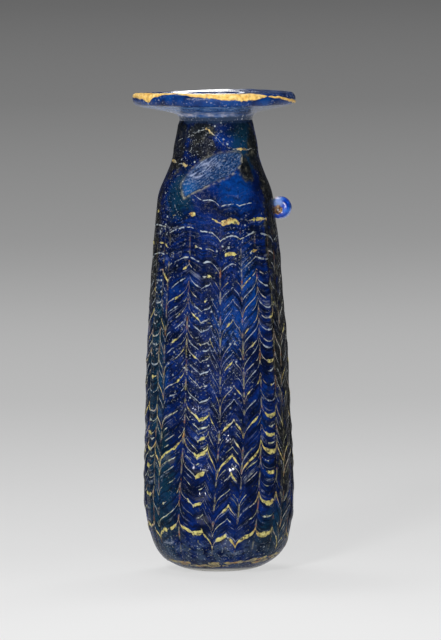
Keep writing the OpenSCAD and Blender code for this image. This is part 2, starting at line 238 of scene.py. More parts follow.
def lean(z):
    """Turn of the comb strokes in degrees at height z."""
    below = np.minimum(z - STROKE_MID_Z, 0)
    above = np.maximum(z - STROKE_MID_Z, 0)
    return LEAN_ABOVE * above + LEAN_BELOW * below - LEAN_BEND * below**2


def turn_between(a, b):
    """Turn from b to a in degrees, -180 to 180."""
    return (a - b + 180) % 360 - 180


def pull(angle, sharp=0.0, soft=0.0):
    """Pull of the strokes at an angle, with thin spikes of share sharp and up-strokes rounded by soft."""
    total = np.zeros_like(angle)
    for at, lift, spread in STROKES:
        gap = np.abs(turn_between(angle, at))
        stroke = np.exp(-gap / spread) + sharp * np.exp(-gap / SPIKE_SPREAD)
        if lift > 0:
            stroke += (0.8 * bell(gap, 1.6 * spread) - stroke) * soft
        total += lift * stroke
    return total


def comb_share(z):
    """Share of the full pull at height z."""
    low = 0.35 + 0.65 * smooth(z, 6, 20)
    return np.minimum(low, 0.27 + 0.73 * fall(z, 70, 100)) * fall(z, 103, 113)


def softness(z):
    """How far the up-strokes are rounded at height z."""
    return smooth(z, 78, 92)


def turn_of(z):
    """Turn number of the yellow trail at height z before combing."""
    return np.interp(-z, [-v for v in TURN_Z], TURNS)


def height_of(turn):
    """Height of the yellow trail at a turn number before combing."""
    return np.interp(turn, TURNS, TURN_Z)


def inside_flake(theta, z):
    """Distance in mm inside the flake's outline, negative outside."""
    pts = np.array([(math.radians(a) * FLAKE_R, h) for a, h in FLAKE])
    x = np.where(theta > math.pi, theta - 2 * math.pi, theta) * FLAKE_R
    best = np.full(np.broadcast(x, z).shape, 1e9)
    inside = np.zeros(best.shape, bool)
    for i in range(len(pts)):
        (x0, y0), (x1, y1) = pts[i], pts[(i + 1) % len(pts)]
        t = np.clip(((x - x0) * (x1 - x0) + (z - y0) * (y1 - y0)) / ((x1 - x0) ** 2 + (y1 - y0) ** 2), 0, 1)
        best = np.minimum(best, np.hypot(x - x0 - t * (x1 - x0), z - y0 - t * (y1 - y0)))
        crosses = (y0 > z) != (y1 > z)
        with np.errstate(divide="ignore", invalid="ignore"):
            inside ^= crosses & (x < (x1 - x0) * (z - y0) / (y1 - y0) + x0)
    return np.where(inside, best, -best)


def furrow_depth(theta, z):
    """Depth in mm of the comb furrows."""
    degrees = np.degrees(theta)
    fade = smooth(z, FURROW_LOW_Z, FURROW_LOW_Z + 12) * fall(z, FURROW_HIGH_Z - 16, FURROW_HIGH_Z)
    total = np.zeros(np.broadcast(theta, z).shape)
    for at, lift, _ in STROKES:
        depth = FURROW_DEEP if abs(lift) > STRONG_PULL else FURROW_SHALLOW
        gap = np.abs(turn_between(degrees, at + lean(z))) * np.radians(1) * outer_r(z)
        total += depth * (bell(gap, FURROW_W) - BANK_SHARE * bell(gap - FURROW_BANK, FURROW_W))
    return total * fade


def patches(theta, z, places):
    """1 in the middle of each patch, fading to its edge."""
    total = np.zeros(np.broadcast(theta, z).shape)
    for at, height, wide, tall in places:
        gap = turn_between(np.degrees(theta), at) / wide
        total = np.maximum(total, np.exp(-0.7 * (gap**2 + ((z - height) / tall) ** 2)))
    return total


def wall_shape(theta, z):
    """How far the worn wall stands off its plain shape, in mm."""
    inside = inside_flake(theta, z)
    z0 = z - pull(np.degrees(theta) - lean(z)) * comb_share(z)
    lobes = np.cos(2 * math.pi * (turn_of(z0) - (np.degrees(theta) - TURN_ANGLE) / 360))
    band = smooth(z, 8, 16) * fall(z, 86, 96)
    shape = 0.09 * ripple(theta, z, 3, 5, 24) + 0.03 * ripple(theta, z, 4, 18, 6)
    shape += BULGE * patches(theta, z, POLISHED)
    shape += FOOT_FULL * bell(z - FOOT_FULL_Z, FOOT_FULL_H)
    shape -= furrow_depth(theta, z)
    low = fall(z, 40, 60)
    shape += ((0.06 + 0.05 * low) * lobes + 0.05 * low * np.cos(2 * math.pi * (2 * turn_of(z0) + 0.3))) * band
    scoop = FLAKE_DEPTH * smooth(inside, 0, 3.2) + 0.22 * smooth(inside, 0, 0.5)
    shape = shape * (1 - smooth(inside, -0.2, 0.6)) - scoop
    shape += 0.16 * bell(inside + 0.15, 0.35)
    return shape * smooth(z, 0.4, 4) * fall(z, NECK_TOP_Z - 1.5, NECK_TOP_Z)


def stroke_side(theta, z):
    """Distance in mm to the nearest strong stroke, with a sign that changes from stroke to stroke."""
    degrees = np.degrees(theta) - lean(z)
    best = np.full(np.broadcast(theta, z).shape, 1e9)
    signed = np.zeros(best.shape)
    strong = [at for at, lift, _ in STROKES if abs(lift) > STRONG_PULL]
    for k, at in enumerate(strong):
        gap = turn_between(degrees, at)
        near = np.abs(gap) < best
        best = np.where(near, np.abs(gap), best)
        signed = np.where(near, gap * (-1) ** k, signed)
    return signed * np.radians(1) * outer_r(z)


def wall_point(theta, z, off):
    """Points standing off the worn wall along the plain wall's normal."""
    step = 0.05
    slope = (outer_r(z + step) - outer_r(z - step)) / (2 * step)
    n = np.sqrt(1 + slope**2)
    d = wall_shape(theta, z) + off
    r = outer_r(z) + d / n
    drift = NECK_DRIFT * smooth(z, 106, 122) + FOOT_DRIFT * fall(z, 5, 16)
    return np.stack([r * np.sin(theta) + drift, -r * np.cos(theta), z - d * slope / n], -1)


def make_object(name, points, faces, attributes):
    """Smooth mesh object from points in mm, with a value or vector per point for each attribute."""
    mesh = bpy.data.meshes.new(name)
    mesh.from_pydata((np.asarray(points) * MM).tolist(), [], faces)
    mesh.update()
    for key, values in attributes.items():
        kind, field = ("FLOAT_VECTOR", "vector") if np.ndim(values) == 2 else ("FLOAT", "value")
        layer = mesh.attributes.new(key, kind, "POINT")
        layer.data.foreach_set(field, np.asarray(values, np.float32).ravel())
    mesh.polygons.foreach_set("use_smooth", [True] * len(mesh.polygons))
    obj = bpy.data.objects.new(name, mesh)
    bpy.context.scene.collection.objects.link(obj)
    return obj


def grid_faces(rows, columns, start=0):
    """Quads of a tube of rows rings, each of columns points, facing outward for rising rings."""
    i, j = np.meshgrid(np.arange(rows - 1), np.arange(columns), indexing="ij")
    a = start + i * columns + j
    b = start + i * columns + (j + 1) % columns
    return np.stack([a, b, b + columns, a + columns], -1).reshape(-1, 4).tolist()


def capped_tube(rows, columns, start=0):
    """Faces of a tube closed at both ends."""
    faces = grid_faces(rows, columns, start)
    faces.append(list(range(start, start + columns))[::-1])
    faces.append(list(range(start + (rows - 1) * columns, start + rows * columns)))
    return faces


def looped_tube(rows, columns):
    """Faces of a tube whose last ring meets its first."""
    count = rows * columns
    return [[v % count for v in face] for face in grid_faces(rows + 1, columns)]


def round_angles(columns):
    return np.linspace(-math.pi, math.pi, columns, endpoint=False)


def revolve_ring(r, z, theta):
    return np.stack([r * np.sin(theta), -r * np.cos(theta), np.full_like(theta, z)], -1)


BODY_COLUMNS = 360
HEEL_RINGS = 56
# Rings of the wall above the heel: from and to a height, and how many
WALL_RINGS = [(BELLY_H, 100, 104), (100, 119, 58), (119, NECK_TOP_Z, 18)]
HUB_R = 0.6
FOOT_RINGS = (HUB_R, 3, 5.5)
# Values under the foot and in the cavity, where they aren't 0
BEYOND_WALL = {"stroke": (9.0, 9.0), "foot": (1.0, 0.0), "residue": (0.0, 1.0)}


def body_heights():
    """Heights of the outer wall's rings."""
    t = np.linspace(0, math.pi / 2, HEEL_RINGS)
    parts = [BELLY_H * (1 - np.cos(t) ** (2 / HEEL_POWER))]
    for low, high, rings in WALL_RINGS:
        parts.append(np.linspace(low, high, rings)[1:])
    return np.concatenate(parts)


def cavity_profile():
    """Radius and height down the bore and the cavity to its floor."""
    profile = [(MOUTH_R, NECK_TOP_Z), (MOUTH_R, NECK_ROOT_Z)]
    shoulder = (SHOULDER_Z, SHOULDER_R - WALL, -SHOULDER_LEAN)
    for z in np.linspace(NECK_ROOT_Z, SHOULDER_Z, 8)[1:]:
        profile.append((float(curve(shoulder, (NECK_ROOT_Z, MOUTH_R, 0), z)), z))
    for z in np.linspace(SHOULDER_Z, BELLY_H, 6)[1:]:
        profile.append((float(outer_r(z)) - WALL, z))
    for a in np.linspace(90, 0, 9)[1:]:
        s, c = math.sin(math.radians(a)), math.cos(math.radians(a))
        profile.append((FOOT_R + (BELLY_R - WALL - FOOT_R) * s ** (2 / HEEL_POWER),
                        BELLY_H - (BELLY_H - FLOOR_T) * c ** (2 / HEEL_POWER)))
    profile.append((HUB_R, FLOOR_T))
    return profile


def wall_values(th, zz):
    """Values on the outer wall that its glass is coloured by."""
    inside = inside_flake(th, zz)
    z0 = zz - pull(np.degrees(th) - lean(zz), 0.4, softness(zz)) * comb_share(zz)
    x, y = th * FLAKE_R, zz - FLAKE[0][1]
    along = x * math.cos(FLAKE_SLANT) + y * math.sin(FLAKE_SLANT)
    across = -x * math.sin(FLAKE_SLANT) + y * math.cos(FLAKE_SLANT)
    values = {
        "comb": np.stack([z0, np.sin(th) * 12, -np.cos(th) * 12], -1),
        "flake": smooth(inside, -0.1, 0.5),
        "flake_edge": bell(inside + 0.1, 0.3) * (1 - 0.6 * smooth(across, 5, 6.5)),
        "flake_lay": np.stack([along, across, th * 0], -1),
        "stroke": stroke_side(th, zz),
        "stroke_fade": smooth(zz, 3, 12) * fall(zz, 84, 100),
        "top": smooth(zz, 121, 126),
        # Where the rim's painted reflection fades out over the neck's top
        "rim_reflection_fade": smooth(zz, 124.4, 126.6),
        "combed": smooth(zz, 1, 8) * fall(zz, 97, 110),
        # Where the foot's lowest rim carries a painted reflection of the floor
        "foot": fall(zz, 0.5, 1.7),
        "residue": zz * 0,
        "dust": fall(zz, 4, 15),
        "low": fall(zz, 32, 46),
    }
    for key, places in PATCHES.items():
        values[key] = patches(th, zz, places)
    return values


def pad_ends(values, low, high, under, inside):
    """Values of the wall between those of low points under the foot and high points in the cavity."""
    flat = values.reshape(values.shape[0] * values.shape[1], -1)
    width = flat.shape[1]
    return np.squeeze(np.concatenate([np.full((low, width), under), flat, np.full((high, width), inside)]))


def build_body():
    """Worn outer wall, neck top, bore and cavity as one closed skin."""
    theta = round_angles(BODY_COLUMNS)
    th, zz = np.meshgrid(theta, body_heights())
    outer = wall_point(th, zz, 0.0)
    outer[0, :, 2] = 0
    foot = [revolve_ring(r, 0, theta) for r in FOOT_RINGS]
    inner = [revolve_ring(r, z, theta) for r, z in cavity_profile()]
    points = np.concatenate([np.concatenate(foot), outer.reshape(-1, 3), np.concatenate(inner)])
    faces = capped_tube(len(foot) + len(outer) + len(inner), BODY_COLUMNS)
    low, high = len(foot) * BODY_COLUMNS, len(inner) * BODY_COLUMNS
    values = {}
    for key, value in wall_values(th, zz).items():
        values[key] = pad_ends(value, low, high, *BEYOND_WALL.get(key, (0.0, 0.0)))
    return make_object("alabastron_body", points, faces, values)


def rim_profile():
    """Rim section from the neck joint round the edge to the mouth and down the bore."""
    pts = []
    for a in np.linspace(0, math.pi / 2 - FLARE_ANGLE, 9):
        pts.append((NECK_TOP_R + FLARE_R * (1 - math.cos(a)), NECK_TOP_Z + FLARE_R * math.sin(a)))
    for s in np.linspace(0, 1, 18)[1:-1]:
        pts.append((FLARE_END_R + (EDGE_R - FLARE_END_R) * s, FLARE_END_Z + (EDGE_LOW_Z - FLARE_END_Z) * s))
    for a in np.linspace(-math.pi / 2, math.pi / 2, 21):
        pts.append((EDGE_R + RIM_ROUND * math.cos(a), EDGE_MID_Z + RIM_EDGE_T / 2 * math.sin(a)))
    for s in np.linspace(0, 1, 14)[1:-1]:
        pts.append((EDGE_R + (MOUTH_R + LIP_R - EDGE_R) * s, RIM_TOP_Z - RIM_DISH * s))
    for a in np.linspace(0, math.pi / 2, 8):
        pts.append((MOUTH_R + LIP_R * (1 - math.sin(a)), RIM_TOP_Z - RIM_DISH - LIP_R * (1 - math.cos(a))))
    pts.append((MOUTH_R, NECK_TOP_Z))
    return np.array(pts)


RIM_COLUMNS = 256
UNDERSIDE_POINTS = 26
RIM_TILT = 0.35


def rim_shape(theta, r, z):
    """Unevenness of the hand-made rim as radial and height offsets in mm."""
    out = smooth(r, 12, 21)
    lift = 0.16 * ripple(theta, z * 0, 21, 4, 50) * out
    draw = -0.18 * smooth(ripple(theta, z * 0, 22, 6, 50), -1.5, 1.5) * out
    fine = 0.025 * ripple(theta, r * 3, 23, 30, 5) * smooth(r, 7.5, 9)
    tilt = RIM_TILT * (1 - np.cos(theta)) / 2 * out
    return draw + fine, np.minimum(lift - 0.14 * out, 0.12) - tilt + fine


def build_rim():
    """Disc rim with its trumpet-shaped underside, closed round the bore."""
    theta = round_angles(RIM_COLUMNS)
    section = rim_profile()
    rings = []
    for k, (r, z) in enumerate(section):
        dr, dz = rim_shape(theta, np.full(RIM_COLUMNS, r), np.full(RIM_COLUMNS, z))
        keep = 0.0 if k in (0, len(section) - 1) else 1.0
        ring = revolve_ring(r + dr * keep, 0.0, theta)
        ring[:, 0] += NECK_DRIFT * fall(r, 9.5, 19) * smooth(r, 7.1, 9)
        ring[:, 2] = z + dz * keep
        rings.append(ring)
    # The underside carries a painted reflection: near marks its lighter part by the neck, collar the joint
    # where it fades, shaded its right side in painted shade
    below = (np.arange(len(section)) < UNDERSIDE_POINTS).astype(float)
    near = below * fall(section[:, 0], 12, 16) * smooth(section[:, 1], 127.2, 128.2)
    collar = below * fall(section[:, 1], 126.7, 128.6)
    values = {"below": below, "near": near, "collar": collar}
    values = {key: np.repeat(value, RIM_COLUMNS) for key, value in values.items()}
    values["shaded"] = np.outer(below, smooth(np.sin(theta), 0.15, 0.75)).reshape(-1)
    return make_object("alabastron_rim", np.concatenate(rings), looped_tube(len(rings), RIM_COLUMNS), values)


BAND_VALUES = ("core", "warm", "gold")


def strip_object(name, runs):
    """Closed bands, each run an array of sections by points, with a value per section and point."""
    points, faces = [], []
    values = {key: [] for key in BAND_VALUES}
    base = 0
    for run in runs:
        sections, ring = run["points"].shape[:2]
        points.append(run["points"].reshape(-1, 3))
        for key in BAND_VALUES:
            values[key].append(run[key].reshape(-1))
        faces += capped_tube(sections, ring, base)
        base += sections * ring
    values = {key: np.concatenate(parts) for key, parts in values.items()}
    return make_object(name, np.concatenate(points), faces, values)


def split_runs(present, shortest):
    """Index ranges where present is true, at least shortest long."""
    edges = np.flatnonzero(np.diff(np.concatenate([[0], present.astype(int), [0]])))
    return [(a, b) for a, b in zip(edges[::2], edges[1::2]) if b - a >= shortest]


BAND_U = np.array([-1.0, -0.72, -0.3, 0.3, 0.72, 1.0])
BAND_LIFT = np.array([-0.5, 0.55, 1.0, 1.0, 0.55, -0.5])
BAND_UNDER_U = np.array([0.8, -0.8])
BAND_UNDER = 0.22
BAND_LOW_Z = 0.3


def wall_band(theta, z, up, down, lift, present, warm, gold, shortest=6):
    """Runs of a band on the wall, with its upper and lower half heights in mm per section."""
    runs = []
    for a, b in split_runs(present > 0, shortest):
        cut = slice(a, b)
        fade = np.clip(present[cut] / 0.4, 0.12, 1)
        middle = z[cut, None]
        reach = np.where(BAND_U[None] > 0, up[cut, None], down[cut, None]) * fade[:, None]
        under = BAND_UNDER_U * np.minimum(up, down)[cut, None] * fade[:, None]
        zs = np.concatenate([middle + BAND_U * reach, middle + under], 1)
        off = np.concatenate([BAND_LIFT * (lift * fade)[:, None], np.full((b - a, 2), -BAND_UNDER)], 1)
        each = np.ones_like(zs)
        points = wall_point(theta[cut, None] * each, np.maximum(zs, BAND_LOW_Z), off)
        core = np.concatenate([1 - np.abs(BAND_U), [0, 0]])
        runs.append({"points": points, "core": core * each, "warm": warm[cut, None] * each,
                     "gold": gold[cut, None] * each})
    return runs


def frayed(half, share, s, seed, shortest, longest):
    """Upper and lower half heights of a band with ragged edges."""
    return [half * (1 + share * wander(s, seed + k, shortest, longest)) for k in (0, 1)]


def stroke_warmth(angle):
    """1 on the strokes that carry brown stain, fading beside them."""
    total = np.zeros_like(angle)
    for at, lift, _ in STROKES:
        if abs(lift) > STRONG_PULL:
            total = np.maximum(total, np.exp(-np.abs(turn_between(angle, at)) / 3.0))
    return total


# Share of the yellow trail that has kept its colour, by height in mm
GOLD = [(0, 1.2), (40, 0.9), (50, -0.15), (60, -0.55), (85, -0.5), (94, 0.2), (110, 0.5)]
PALE_HALF = 0.24
# The pale trail lies this share of a turn below the yellow one
PALE_BELOW = 0.456
TRAIL_STEP = 0.6
TRAIL_R = 20
THINNEST = 0.07
# Sections on each side that the yellow trail's upper points are rounded over
ROUNDING = 6


def combed_path(turn, below, sharp, seed, gilded):
    """Course of a band along the combed spiral, as arrays over its turn numbers."""
    band = SimpleNamespace(turn=turn, angle=TURN_ANGLE + 360 * turn)
    z0 = height_of(turn + below)
    soft = softness(z0)
    drift = 0.25 * wander(band.angle * 0.35, seed, 8, 60)
    z = z0 + pull(band.angle, sharp * (1 - 0.6 * soft), soft) * comb_share(z0) + drift
    if gilded:
        width = 2 * ROUNDING + 1
        rounded = np.convolve(np.pad(z, ROUNDING, "edge"), np.full(width, 1 / width), "valid")
        z = z + soft * (rounded - z)
    band.z = z
    band.theta_deg = band.angle + lean(z)
    band.s = np.radians(band.angle) * TRAIL_R
    band.slope = np.abs(np.gradient(z, band.s))
    band.thin = 1 / (1 + 0.3 * np.minimum(band.slope, 4) + 0.5 * np.minimum(band.slope, 2) ** 2)
    band.low = fall(z, 38, 50)
    return band


def wear_yellow(band, seed):
    """Wear and colour of the yellow trail, with its thick stretches."""
    turn_kept = np.interp(band.turn, TURNS, TURN_KEPT)
    band.present += turn_kept
    heights, share = np.array(GOLD).T
    share = np.interp(band.z, heights, share) + 0.75 * wander(band.s, seed + 7, 3, 16)
    hold = np.clip(turn_kept, 0, 1)
    steep = band.low * smooth(band.slope, 0.3, 0.9) * (1 - hold)
    share -= 2.2 * steep
    band.present -= 0.3 * steep
    for at, middle, spread, kept, thick in KEPT_SPOTS:
        near = bell(band.angle - middle - 360 * at, spread)
        band.present += kept * near
        share += kept * near
        band.half = band.half * (1 + thick * near)
        band.spot = np.maximum(band.spot, near)
        hold = np.maximum(hold, np.clip(kept * near, 0, 1))
    band.thin = band.thin + 0.7 * hold * (1 - band.thin)
    band.gold = smooth(share, -0.25, 0.35)
    band.half = PALE_HALF + (band.half - PALE_HALF) * band.gold


def wear_pale(band):
    """Wear and colour of the pale trail."""
    band.gold = band.low
    band.half = band.half * (1 - 0.35 * smooth(band.z, 94, 100))
    band.present -= 0.25 * band.low
    band.present -= 0.9 * smooth(turn_between(band.theta_deg, 30), 0, 10) * smooth(band.z, 97, 100)


def wear_sides(band):
    """More wear at the left, on the right flank and beside the lug."""
    band.present -= 0.35 * bell(turn_between(band.theta_deg, -62), 40) * smooth(band.z, 45, 80)
    band.present -= 0.7 * bell(turn_between(band.theta_deg, 80), 20)
    by_lug = turn_between(band.theta_deg, np.degrees(LUG_ANGLE)) / 12
    band.present -= 3 * np.exp(-by_lug**4) * smooth(band.z, 96, 97.5)


def combed_band(first, last, below, sharp, half, low_half, lift, seed, wear, fray, gilded):
    """Band along the combed spiral between two turn numbers, a share of a turn below the yellow one."""
    band = combed_path(np.arange(first, last, TRAIL_STEP / 360), below, sharp, seed, gilded)
    band.half = half + (low_half - half) * band.low
    band.present = wear + 0.42 * wander(band.s, seed + 3, 3, 26) + 0.22 * wander(band.s, seed + 4, 1.0, 4)
    band.spot = np.zeros_like(band.z)
    if gilded:
        wear_yellow(band, seed)
    else:
        wear_pale(band)
    fray = fray * (1 - 0.6 * band.spot)
    up, down = np.maximum(frayed(band.half * band.thin, fray, band.s, seed + 1, 1.5, 10), THINNEST)
    wear_sides(band)
    present = np.minimum(band.present, np.minimum(band.turn - first, last - band.turn) * 40)
    warm = np.maximum(stroke_warmth(band.angle), 0.85 * band.spot * smooth(band.z, 84, 94))
    return wall_band(np.radians(band.theta_deg), band.z, up, down, lift, present, warm, band.gold)


def build_yellow():
    runs = combed_band(first=-0.35, last=13.3, below=0.0, sharp=0.5, half=0.52, low_half=0.62, lift=0.10,
                       seed=31, wear=0.55, fray=0.32, gilded=True)
    return strip_object("alabastron_yellow_trail", runs)


def build_pale():
    runs = combed_band(first=-1.1, last=12.6, below=PALE_BELOW, sharp=0.3, half=0.28, low_half=0.26,
                       lift=0.06, seed=51, wear=0.55, fray=0.35, gilded=False)
    return strip_object("alabastron_pale_trail", runs)


# Neck thread: angle in degrees and height in mm of the places it passes
NECK_PATH = [
    (-75, 120.5), (-50, 121.8), (-25, 123.7), (-14, 124.5), (-5, 122.9), (8, 120.4), (25, 118.4),
    (45, 118.5), (70, 118.2), (120, 117.6), (180, 117.0), (240, 116.0), (280, 115.4), (298, 114.9),
    (322, 114.2), (330, 113.9),
]
# Where it has kept its yellow: angle and spread in degrees
NECK_SPOTS = [(-11, 6), (38, 8), (288, 10), (318, 6), (150, 12), (215, 10)]
NECK_LIFT = 0.07
NECK_TRAIL_R = 12
THREAD_STEP = 0.8


def build_neck_trail():
    at, height = np.array(NECK_PATH, float).T
    angle = np.arange(at[0], at[-1], THREAD_STEP)
    z = np.interp(angle, at, height) + 0.12 * wander(angle * 0.2, 71, 2, 12)
    s = np.radians(angle) * NECK_TRAIL_R
    yellow = np.zeros_like(angle)
    for middle, spread in NECK_SPOTS:
        yellow = np.maximum(yellow, bell(angle - middle, spread))
    up, down = np.maximum(frayed(0.08 + 0.4 * yellow, 0.3, s, 72, 0.7, 5), 0.08)
    present = 0.22 + 0.6 * yellow + 0.45 * wander(s, 74, 1.2, 9)
    present = np.minimum(present, np.minimum(angle - angle[0], angle[-1] - angle) / 8)
    gold = smooth(yellow, 0.2, 0.7)
    runs = wall_band(np.radians(angle), z, up, down, NECK_LIFT, present, yellow, gold, shortest=4)
    return strip_object("alabastron_neck_trail", runs)


# Base thread: angle in degrees and height in mm of the places it passes
BASE_PATH = [(-178, 4.2), (-110, 4.0), (-58, 3.5), (-10, 2.4), (18, 3.5), (48, 4.5), (100, 4.8), (178, 4.2)]
# Its strands: height above the path, half height in mm, how well kept, and seed
BASE_STRANDS = [(0.45, 0.45, 0.4, 82), (-0.5, 0.42, 0.3, 182)]
BASE_LIFT = 0.08
BASE_TRAIL_R = 15


def build_base_trail():
    at, height = np.array(BASE_PATH, float).T
    angle = np.arange(at[0], at[-1], THREAD_STEP)
    s = np.radians(angle) * BASE_TRAIL_R
    path = np.interp(angle, at, height) + 0.15 * wander(s, 81, 6, 40)
    runs = []
    for above, half, wear, seed in BASE_STRANDS:
        up, down = np.clip(frayed(half, 0.4, s, seed, 3, 14), 0.1, 0.9)
        present = wear + 0.45 * wander(s, seed + 2, 5, 24) + 0.15 * wander(s, seed + 3, 1, 4)
        present = np.minimum(present, np.minimum(angle - angle[0], angle[-1] - angle) / 6)
        warm = smooth(wander(s, seed + 4, 3, 14), -0.2, 1.4)
        gold = smooth(wander(s, seed + 5, 2, 10), -1.5, 0.8)
        runs += wall_band(np.radians(angle), path + above, up, down, BASE_LIFT, present, warm, gold)
    return strip_object("alabastron_base_trail", runs)


# Rim thread from its thick tip leftward round the rim: sweep, middle and half span on the edge in degrees
RIM_PATH = [
    (0, 34, 2), (4, 38, 18), (15, 42, 50), (28, 46, 48), (41, 54, 40), (58, 66, 26), (70, 80, 9),
    (80, 68, 14), (90, 50, 34), (100, 46, 42), (115, 50, 38), (140, 50, 25), (200, 40, 20), (260, 10, 17),
    (311, -38, 15), (335, -8, 13), (350, 18, 11), (357, 31, 8), (360, 34, 2),
]
RIM_FROM = 41.0
RIM_WORN = 68.0
DRIP_SWEEP = 95.0
DRIP_SPAN = 46
# Its section: places across, their lift, and places of its underside
RIM_BAND_U = np.array([-1.0, -0.8, -0.4, 0.0, 0.4, 0.8, 1.0])
RIM_BAND_LIFT = np.array([-0.2, 0.5, 0.9, 1.0, 0.9, 0.5, -0.2])
RIM_UNDER_U = np.array([0.7, 0.0, -0.7])
RIM_BAND_UNDER = 0.2


def rim_edge_point(theta, edge, off):
    """Points on the rim edge at an edge angle in radians: 0 outermost, over a quarter turn on the top."""
    over = np.maximum(edge - math.pi / 2, 0) * 1.6
    edge = np.minimum(edge, math.pi / 2)
    r = EDGE_R + (RIM_ROUND + off) * np.cos(edge) - over
    z = EDGE_MID_Z + (RIM_EDGE_T / 2 + off) * np.sin(edge)
    dr, dz = rim_shape(theta, np.maximum(r, 12.5), z)
    return np.stack([(r + dr) * np.sin(theta), -(r + dr) * np.cos(theta), z + dz], -1)


def build_rim_trail():
    at, middle, span = np.array(RIM_PATH, float).T
    sweep = np.arange(0.5, 359.5, TRAIL_STEP)
    s = np.radians(sweep) * RIM_R
    mid = (np.interp(sweep, at, middle) + 2 * wander(s, 91, 2, 14))[:, None]
    half = np.interp(sweep, at, span)
    up, down = frayed(half, 0.07, s, 92, 0.8, 6)
    down += DRIP_SPAN * bell(sweep - DRIP_SWEEP, 4.2)
    u = np.concatenate([RIM_BAND_U, RIM_UNDER_U])
    edge = np.radians(mid + u * np.where(u > 0, up[:, None], down[:, None]))
    size = np.clip(half / 14, 0.15, 1)
    under = np.full((len(sweep), len(RIM_UNDER_U)), -RIM_BAND_UNDER)
    off = np.concatenate([RIM_BAND_LIFT * (0.26 * size)[:, None], under], 1)
    each = np.ones_like(edge)
    points = rim_edge_point(np.radians(RIM_FROM - sweep)[:, None] * each, edge, off)[::-1]
    core = np.concatenate([1 - np.abs(RIM_BAND_U), 0 * RIM_UNDER_U])
    worn = bell(sweep - RIM_WORN, 9)[::-1, None]
    run = {"points": points, "core": core * each, "warm": worn * each, "gold": each}
    return strip_object("alabastron_rim_trail", [run])


LUG_AROUND = 72
LUG_ACROSS = 28


def build_lug():
    """Pierced ear with a soft uneven edge, its root sunk in the wall and its eye narrowed by earth."""
    phi = np.linspace(0, 2 * math.pi, LUG_AROUND, endpoint=False)
    t = 2 * math.pi * np.arange(LUG_ACROSS)[:, None] / LUG_ACROSS
    reach = float(outer_r(LUG_Z)) + EYE_REACH
    side, rise = LUG_REACH - EYE_REACH, EYE_DROP
    along = side * np.cos(phi) + rise * np.sin(phi)
    edge = along + np.sqrt(along**2 + LUG_R**2 - side**2 - rise**2)
    r = (edge + EYE_CLEAR_R) / 2 + (edge - EYE_CLEAR_R) / 2 * np.cos(t)
    x, z = r * np.cos(phi), r * np.sin(phi) - rise
    y = LUG_T / 2 * np.abs(np.sin(t)) ** 0.75 * np.sign(np.sin(t)) * (1 + 0.06 * np.cos(phi + 1))
    turn = LUG_ANGLE - math.pi / 2
    c, s = math.cos(turn), math.sin(turn)
    points = np.stack([(x + reach) * c - y * s, (x + reach) * s + y * c, z + LUG_Z], -1).reshape(-1, 3)
    u, w = (x - side) / LUG_R, z / LUG_R
    # shine marks where the painted highlight lies at the upper left, crest the top edge it whitens
    values = {"eye": r - EYE_R, "painted_highlight": bell(u + 0.3, 0.5) * bell(w - 0.55, 0.5),
              "glow": smooth(0.8 * u - 0.45 * w, 0.25, 0.95), "crest": smooth(w, 0.62, 0.85)}
    values = {key: value.reshape(-1) for key, value in values.items()}
    return make_object("alabastron_lug", points, looped_tube(LUG_ACROSS, LUG_AROUND), values)


def srgb(code):
    """Linear colour of a hex code."""
    parts = [int(code[i:i + 2], 16) / 255 for i in (0, 2, 4)]
    return tuple(c / 12.92 if c <= 0.04045 else ((c + 0.055) / 1.055) ** 2.4 for c in parts) + (1.0,)


GLASS_IOR = 1.5


